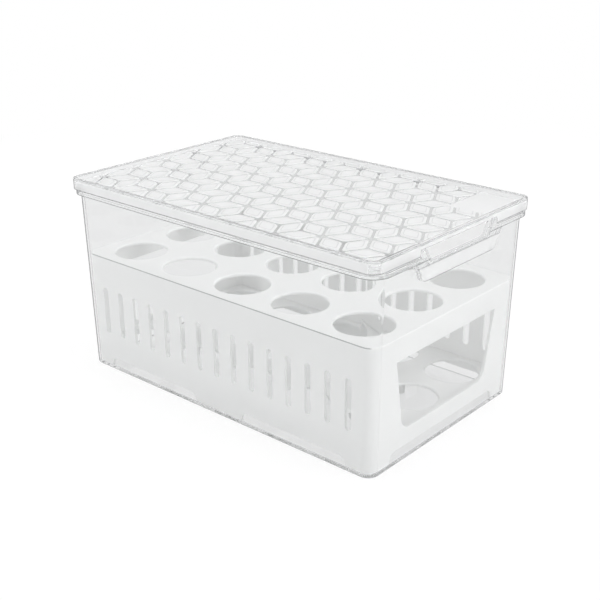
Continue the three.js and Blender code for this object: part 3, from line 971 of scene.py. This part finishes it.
def add_painted_groove_light(made, place, colour):
    x, _, z = axes(made, place)

    def between_heights(low, high):
        return made.fade(z, low - LINE_SOFTNESS, low) * made.fade(z, high + LINE_SOFTNESS, high)

    inner = RACK_HIGH.x - RACK_WALL
    at_side = made.fade(x.maths("ABSOLUTE"), inner, inner + RACK_WALL / 2)
    # Painted shade fills the groove; a painted highlight runs under it and round the top of each
    # hole's lip.
    painted_groove_shade = at_side * between_heights(RACK_GROOVE_LOW, RACK_GROOVE_HIGH)
    under_groove_highlight = at_side * between_heights(RACK_GROOVE_LOW - PAINTED_HIGHLIGHT_WIDTH, RACK_GROOVE_LOW)
    lip_highlights = (1 - at_side) * between_heights(RACK_HIGH.z - HOLE_LIP, RACK_HIGH.z - 2 * LINE_SOFTNESS)
    painted_highlight = made.blend(strongest(under_groove_highlight, lip_highlights), colour, PAINTED_HIGHLIGHT_WHITE)
    return made.blend(painted_groove_shade, painted_highlight, GROOVE_SHADE)


def make_white_plastic(name, with_painted_groove_light=False):
    made = new_finish(name)
    place = made.node("ShaderNodeTexCoord", output="Object")
    grain = add_noise(made, place, GRAIN_SCALE)
    colour = made.blend(add_noise(made, place, CLOUD_SCALE, CLOUD_DETAIL), WHITE_SHADE, WHITE)
    if with_painted_groove_light:
        # Painted shade in the groove, and painted highlights under it and on the hole lips.
        colour = add_painted_groove_light(made, place, colour)
    relief = {"Height": grain, "Strength": GRAIN_BUMP, "Distance": GRAIN_DEPTH}
    surface = made.node("ShaderNodeBsdfPrincipled", {}, {
        "Base Color": colour, "Roughness": WHITE_ROUGHNESS + GRAIN_ROUGHNESS * grain,
        "Normal": made.node("ShaderNodeBump", {}, relief), "IOR": WHITE_IOR,
        "Specular IOR Level": WHITE_GLOSS,
    })
    glow = made.node("ShaderNodeBsdfTranslucent", {}, {"Color": WHITE})
    return made.finish(made.mix(WHITE_GLOW_SHARE, surface, glow))


# %% [markdown]
# Light that falls through clear plastic would reach the rack only by caustics, which a path
# tracer finds slowly. So for shadow rays and for light that bounces from matt faces the
# plastic is simply a pale filter. A look that has been turned back and forth inside a rim
# many times would end black, so past a few faces it goes straight on, a shade greyer.
#
# Where a wall turns away at an upright corner the look runs a long way inside the plastic,
# so the tint deepens there with Facing. Frosted plastic is the same, but rough and only
# partly clear. Both have a faint haze.

# %% Clear plastic
CLEAR = (0.965, 0.968, 0.97, 1.0)
CLEAR_FILTER = (0.99, 0.992, 0.993, 1.0)
DEEP_FILTER = (0.9, 0.903, 0.906, 1.0)
DEEP_AFTER = 7
CLEAR_IOR = 1.5
CLEAR_ROUGHNESS, HAZE_ROUGHNESS, HAZE_SCALE = 0.012, 0.02, 40.0
BIN_GRAZING = (0.08, 0.085, 0.09, 1.0)
GRAZING_POWER = 3
LEVEL_NORMAL, STEEP_NORMAL = 0.7, 0.3
CORNER_FROM, CORNER_FULL = 0.05, 0.2
FROST = (0.9, 0.903, 0.906, 1.0)
FROST_CLEARNESS = 0.3
FROST_ROUGHNESS, FROST_HAZE = 0.3, 0.1


def turned_away(made):
    facing = made.node("ShaderNodeLayerWeight", output="Facing")
    x, y, z = axes(made, made.node("ShaderNodeTexCoord", output="Normal"))
    corner = made.fade((x * y).maths("ABSOLUTE"), CORNER_FROM, CORNER_FULL)
    return facing * corner * made.fade(z.maths("ABSOLUTE"), LEVEL_NORMAL, STEEP_NORMAL)


def clear_surface(made, haze, tint, grazing):
    return made.node("ShaderNodeBsdfPrincipled", {}, {
        "Base Color": made.blend(turned_away(made) ** GRAZING_POWER, tint, grazing),
        "Roughness": CLEAR_ROUGHNESS + HAZE_ROUGHNESS * haze, "IOR": CLEAR_IOR,
        "Transmission Weight": 1.0,
    })


def frosted_surface(made, haze, colour):
    return made.node("ShaderNodeBsdfPrincipled", {}, {
        "Base Color": colour, "Roughness": FROST_ROUGHNESS + FROST_HAZE * haze, "IOR": CLEAR_IOR,
        "Transmission Weight": FROST_CLEARNESS,
    })


def finish_clear(made, surface):
    through = made.node("ShaderNodeBsdfTransparent", {}, {"Color": CLEAR_FILTER})
    dim = made.node("ShaderNodeBsdfTransparent", {}, {"Color": DEEP_FILTER})
    near = made.mix(made.ray("Ray Depth").maths("GREATER_THAN", DEEP_AFTER), surface, dim)
    light_ray = strongest(made.ray("Is Shadow Ray"), made.ray("Is Diffuse Ray"))
    return made.finish(made.mix(light_ray, near, through))


# %% [markdown]
# The lowest hair of a moulded edge traps light and reads as a thin dark line, and so does the
# outline of a round corner. These lines are painted shade: a dark matt share drawn with masks.
# `at_outside` is 1 on the outer skin of a block with round corners: it measures how far a
# place lies past the block's core. `just_above` and `just_below` are 1 in a narrow band at a
# height, and `at_turn` where an upright corner turns away.

# %% Lines along the edges
# Painted shade: a dark matt share along the moulded edges and round each upright corner's outline.
PAINTED_EDGE_SHADE = (0.2, 0.205, 0.21, 1.0)
PAINTED_EDGE_SHADE_SHARE = 0.75
PAINTED_EDGE_SHADE_HEIGHT = 0.7 * MM
TURN_FROM, TURN_FULL = 0.58, 0.74
SKIN = 0.25 * MM
ANY_HEIGHT = 1.0


def at_outside(made, place, plan):
    core = (plan.half_x - plan.radius, plan.half_y - plan.radius, ANY_HEIGHT)
    size = made.node("ShaderNodeVectorMath", {"operation": "ABSOLUTE"}, [place])
    past = made.node("ShaderNodeVectorMath", {"operation": "SUBTRACT"}, [size, core])
    past = made.node("ShaderNodeVectorMath", {"operation": "MAXIMUM"}, [past, (0, 0, 0)])
    reach = made.node("ShaderNodeVectorMath", {"operation": "LENGTH"}, [past], output="Value")
    return made.fade(reach, plan.radius - 2 * SKIN, plan.radius - SKIN)


def in_band(made, z, low, high):
    return made.fade(z, low, low + TINY) * made.fade(z, high, high - SKIN)


def just_above(made, z, level):
    return in_band(made, z, level + TINY, level + PAINTED_EDGE_SHADE_HEIGHT)


def just_below(made, z, level):
    return in_band(made, z, level - PAINTED_EDGE_SHADE_HEIGHT, level)


def at_turn(made):
    return made.fade(turned_away(made), TURN_FROM, TURN_FULL)


def paint_edge_shade(made, mask, surface):
    # Painted shade: a dark matt surface mixed in where the mask says.
    painted_shade = made.node("ShaderNodeBsdfDiffuse", {}, {"Color": PAINTED_EDGE_SHADE})
    return made.mix(mask * PAINTED_EDGE_SHADE_SHARE, surface, painted_shade)


# %% [markdown]
# The bin has such painted shade lines along its foot, along the edge of its turned-down lip,
# under each notch, along each apron's foot and at the outline of each upright corner. The
# grip's face is lightly frosted.

# %% The bin's plastic
GRIP_FROST_SHARE = 0.4


def make_clear_plastic(name):
    made = new_finish(name)
    place = made.node("ShaderNodeTexCoord", output="Object")
    haze = add_noise(made, place, HAZE_SCALE)
    z = axes(made, place)[2]
    outside = at_outside(made, place, RIM)
    edges = strongest(just_above(made, z, RIM_BOTTOM_Z), just_below(made, z, NOTCH_FLOOR_Z),
                      just_above(made, z, APRON_BOTTOM_Z))
    # Painted shade lines along the bin's foot, lip, notches, aprons and corner outlines.
    lines = strongest(just_above(made, z, BIN_LOW.z), outside * edges, at_turn(made))
    grip = outside * made.fade(z, NOTCH_FLOOR_Z + SKIN, NOTCH_FLOOR_Z)
    clear = clear_surface(made, haze, CLEAR, BIN_GRAZING)
    surface = made.mix(grip * GRIP_FROST_SHARE, clear, frosted_surface(made, haze, FROST))
    return finish_clear(made, paint_edge_shade(made, lines, surface))


# %% [markdown]
# The lid's pads and the face of its skirt look frosted and almost white, while the grooves
# between the pads stay clear and are painted a little grey as shade. Masks that follow the
# place on the lid tell them apart. A thin band high on each pad's shoulder is painted grey as
# shade, so it reads as a soft outline.

# %% Where the lid is grooved or frosted
CLEAR_BORDER = 3 * MM
FROST_SHARE, SKIRT_FROST_SHARE = 0.85, 0.5
# Height and width of the painted shade band on each pad's shoulder.
SHOULDER_SHADE_RISE, SHOULDER_SHADE_WIDTH = 0.73 * MM, 0.015 * MM
FACE_LOW, FACE_HIGH = -0.2 * MM, 1.4 * MM
FACE_LOW_FULL, FACE_HIGH_FULL = -0.1 * MM, 1.2 * MM
PAD_FOOT, PAD_FOOT_FULL = 0.02 * MM, 0.1 * MM
SKIRT_TOP_DROP, SKIRT_TOP_FULL = 1.2 * MM, 1.8 * MM
PLAIN_START_X = LID_HIGH.x - PLAIN_X - LID_LIP_WIDTH
PLAIN_START_Y = PLAIN_Y + LID_LIP_WIDTH - LID_HIGH.y


def lid_masks(made, place):
    x, y, z = axes(made, place)
    across, along, rise = x.maths("ABSOLUTE"), y.maths("ABSOLUTE"), z - LID_FACE_Z

    def within(distance, soft):
        return (made.fade(across, LID_HIGH.x - distance, LID_HIGH.x - distance - soft)
                * made.fade(along, LID_HIGH.y - distance, LID_HIGH.y - distance - soft))

    on_face = (within(LID_LIP_WIDTH + PATTERN_MARGIN / 4, PATTERN_MARGIN / 2)
               * made.fade(rise, FACE_HIGH, FACE_HIGH_FULL)
               * made.fade(rise, FACE_LOW, FACE_LOW_FULL))
    # Where the grooves are painted grey as shade.
    groove_shade_mask = on_face * within(LID_LIP_WIDTH + PATTERN_MARGIN, CLEAR_BORDER)
    plain = (made.fade(x, PLAIN_START_X - SKIN, PLAIN_START_X)
             * made.fade(y, PLAIN_START_Y + SKIN, PLAIN_START_Y))
    on_pad = on_face * strongest(made.fade(rise, PAD_FOOT, PAD_FOOT_FULL), plain)
    on_skirt = ((1 - within(SKIN, SKIN))
                * made.fade(z, LID_HIGH.z - SKIRT_TOP_DROP, LID_HIGH.z - SKIRT_TOP_FULL)
                * made.fade(z, LID_LOW.z + SKIN, LID_LOW.z + 3 * SKIN))
    frost = strongest(on_pad * FROST_SHARE, on_skirt * SKIRT_FROST_SHARE)
    # A thin band of painted shade high on each pad's shoulder.
    from_shoulder_shade = (rise - SHOULDER_SHADE_RISE).maths("ABSOLUTE")
    shoulder_shade_mask = made.fade(from_shoulder_shade, SHOULDER_SHADE_WIDTH, SHOULDER_SHADE_WIDTH / 2)
    return groove_shade_mask, frost, shoulder_shade_mask


# %% [markdown]
# The skirt has a painted shade line at its foot and a fainter one under its rounded top, and
# the lid's upright corners carry one at their outline.

# %% The lid's plastic
LID_CLEAR = (0.96, 0.963, 0.966, 1.0)
LID_GRAZING = (0.8, 0.805, 0.81, 1.0)
# Painted shade: grey in the lid's grooves.
LID_GROOVE_SHADE = (0.64, 0.646, 0.65, 1.0)
# Painted shade: a grey band on each pad's shoulder.
PAINTED_SHOULDER_SHADE = (0.7, 0.705, 0.71, 1.0)
# The fainter painted shade line under the skirt's rounded top.
TOP_EDGE_SHADE_DROP, TOP_EDGE_SHADE_SHARE = 0.6 * MM, 0.45


def make_lid_plastic(name):
    made = new_finish(name)
    place = made.node("ShaderNodeTexCoord", output="Object")
    haze = add_noise(made, place, HAZE_SCALE)
    groove_shade_mask, frost, shoulder_shade_mask = lid_masks(made, place)
    # The grooves carry painted shade, and so does a band on each pad's shoulder.
    clear = clear_surface(made, haze, made.blend(groove_shade_mask, LID_CLEAR, LID_GROOVE_SHADE), LID_GRAZING)
    frosted = frosted_surface(made, haze, made.blend(shoulder_shade_mask, FROST, PAINTED_SHOULDER_SHADE))
    z = axes(made, place)[2]
    top_edge_shade = TOP_EDGE_SHADE_SHARE * just_below(made, z, LID_HIGH.z - TOP_EDGE_SHADE_DROP)
    # Painted shade lines at the skirt's foot, under its rounded top and at the corner outlines.
    edges = strongest(just_above(made, z, LID_LOW.z), top_edge_shade, at_turn(made))
    lines = at_outside(made, place, LID_TOP) * edges
    return finish_clear(made, paint_edge_shade(made, lines, made.mix(frost, clear, frosted)))


# %% [markdown]
# Each modelled piece takes its finish, rides on its body and stands for its node.

# %% Finish the pieces
def finish_piece(piece, name, node, finish):
    piece.name = name
    piece.data.name = name
    piece.data.materials.clear()
    piece.data.materials.append(finish)
    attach(piece, node)
    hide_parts(node)
    print(name, "stands for", node, "with", len(piece.data.polygons), "faces")


tray_finish = make_white_plastic("white_tray_plastic")
rack_finish = make_white_plastic("white_rack_plastic", with_painted_groove_light=True)
finish_piece(bin_shell, "bin_moulding", "bin", make_clear_plastic("clear_bin_plastic"))
finish_piece(tray, "tray_moulding", "lower_tray", tray_finish)
finish_piece(rack, "rack_moulding", "egg_rack", rack_finish)
finish_piece(lid, "lid_moulding", "lid", make_lid_plastic("clear_lid_plastic"))

# %% [markdown]
# ## Floor and light
#
# The box stands in a white studio. The floor looks white to the camera and a shade lower in
# gloss and through clear plastic, and a matt share keeps a faint shadow near the box. Far
# away that share goes, and the floor meets the sky without a line.

# %% The floor
FLOOR_SIZE = 6.0
FLOOR_GAP = 0.2 * MM
FLOOR_WHITE = (0.96, 0.96, 0.96, 1.0)
FLOOR_GLOW_SHARE = 0.86
FLOOR_GLOSS_LIGHT = 0.84
SHADE_REACH, SHADE_END = 0.35, 0.9


def bent_ray(made):
    return strongest(made.ray("Is Glossy Ray"), made.ray("Is Transmission Ray"))


def make_floor_finish():
    made = new_finish("floor_white")
    matt = made.node("ShaderNodeBsdfDiffuse", {}, {"Color": FLOOR_WHITE})
    glow = made.node("ShaderNodeEmission")
    gloss_glow = made.node("ShaderNodeEmission", {}, {"Strength": FLOOR_GLOSS_LIGHT})
    place = made.node("ShaderNodeTexCoord", output="Object")
    length = made.node("ShaderNodeVectorMath", {"operation": "LENGTH"}, [place], output="Value")
    share = strongest(made.fade(length, SHADE_REACH, SHADE_END), FLOOR_GLOW_SHARE)
    in_gloss = made.mix(bent_ray(made) * share, matt, gloss_glow)
    return made.finish(made.mix(made.ray("Is Camera Ray") * share, in_gloss, glow))


bpy.ops.mesh.primitive_plane_add(size=FLOOR_SIZE, location=(0, 0, -FLOOR_GAP))
floor = bpy.context.object
floor.name = "floor"
floor.data.materials.append(make_floor_finish())

# %% [markdown]
# The sky is white to the camera and lower for the light that it throws on matt faces. Clear
# plastic and gloss see a paler studio with a dim ceiling: a dark ceiling is what gives glass
# its grey lines, because an edge bends the look upwards.

# %% The sky
BRIGHT = (1.0, 1.0, 1.0, 1.0)
SKY_LIGHT = 0.6
GLOSS_LIGHT, CEILING_LIGHT = 0.8, 0.44
CEILING_FROM, CEILING_FULL = 0.55, 0.8


def make_studio():
    made = Finish(bpy.data.worlds.new("studio"), "ShaderNodeOutputWorld")

    def light(strength):
        return made.node("ShaderNodeBackground", {}, {"Color": BRIGHT, "Strength": strength})

    direction = made.node("ShaderNodeTexCoord", output="Generated")
    overhead = made.fade(axes(made, direction)[2], CEILING_FROM, CEILING_FULL)
    studio = made.mix(overhead, light(GLOSS_LIGHT), light(CEILING_LIGHT))
    sky = made.mix(made.ray("Is Diffuse Ray"), light(1.0), light(SKY_LIGHT))
    return made.finish(made.mix(bent_ray(made), sky, studio))


bpy.context.scene.world = make_studio()

# %% [markdown]
# Four soft lamps shape the white plastic: one in front lights the end, one at the far left
# grades the long side, a small one brightens the near corner, and one above evens the top.
# The large ones stand far off, so that a piece lifted towards them stays as bright, and none
# shows in gloss, where it would hide the lid's pattern.

# %% Four soft lamps
LAMP_TARGET = Vector((0, 0, 50)) * MM
LAMP_WIDTH, SMALL_LAMP_WIDTH = 2.4, 0.4


def add_soft_lamp(name, place, width, power):
    data = bpy.data.lights.new(name, "AREA")
    data.shape = "SQUARE"
    data.size = width
    data.energy = power
    lamp = bpy.data.objects.new(name, data)
    bpy.context.scene.collection.objects.link(lamp)
    lamp.location = place
    aim = LAMP_TARGET - Vector(place)
    lamp.rotation_euler = aim.to_track_quat("-Z", "Y").to_euler()
    lamp.visible_camera = False
    lamp.visible_glossy = False
    lamp.visible_transmission = False
    print(name, "is", round(aim.length, 2), "m away")


add_soft_lamp("front_lamp", (1.0, -3.0, 1.6), LAMP_WIDTH, 50.0)
add_soft_lamp("side_lamp", (-0.6, 0.75, 0.4), SMALL_LAMP_WIDTH, 2.0)
add_soft_lamp("corner_lamp", (-1.0, -0.9, 0.35), SMALL_LAMP_WIDTH, 0.6)
add_soft_lamp("top_lamp", (0.3, 0.2, 4.0), LAMP_WIDTH, 54.0)

# %% [markdown]
# A look through the lid, a wall and a rim passes many clear faces one after another. A path
# that is cut short comes out black, so more bounces than usual are allowed.

# %% Bounces and view settings
BOUNCES = 32
cycles = bpy.context.scene.cycles
cycles.max_bounces = BOUNCES
cycles.transmission_bounces = BOUNCES
cycles.glossy_bounces = BOUNCES
cycles.transparent_max_bounces = BOUNCES
bpy.context.scene.view_settings.view_transform = "Standard"
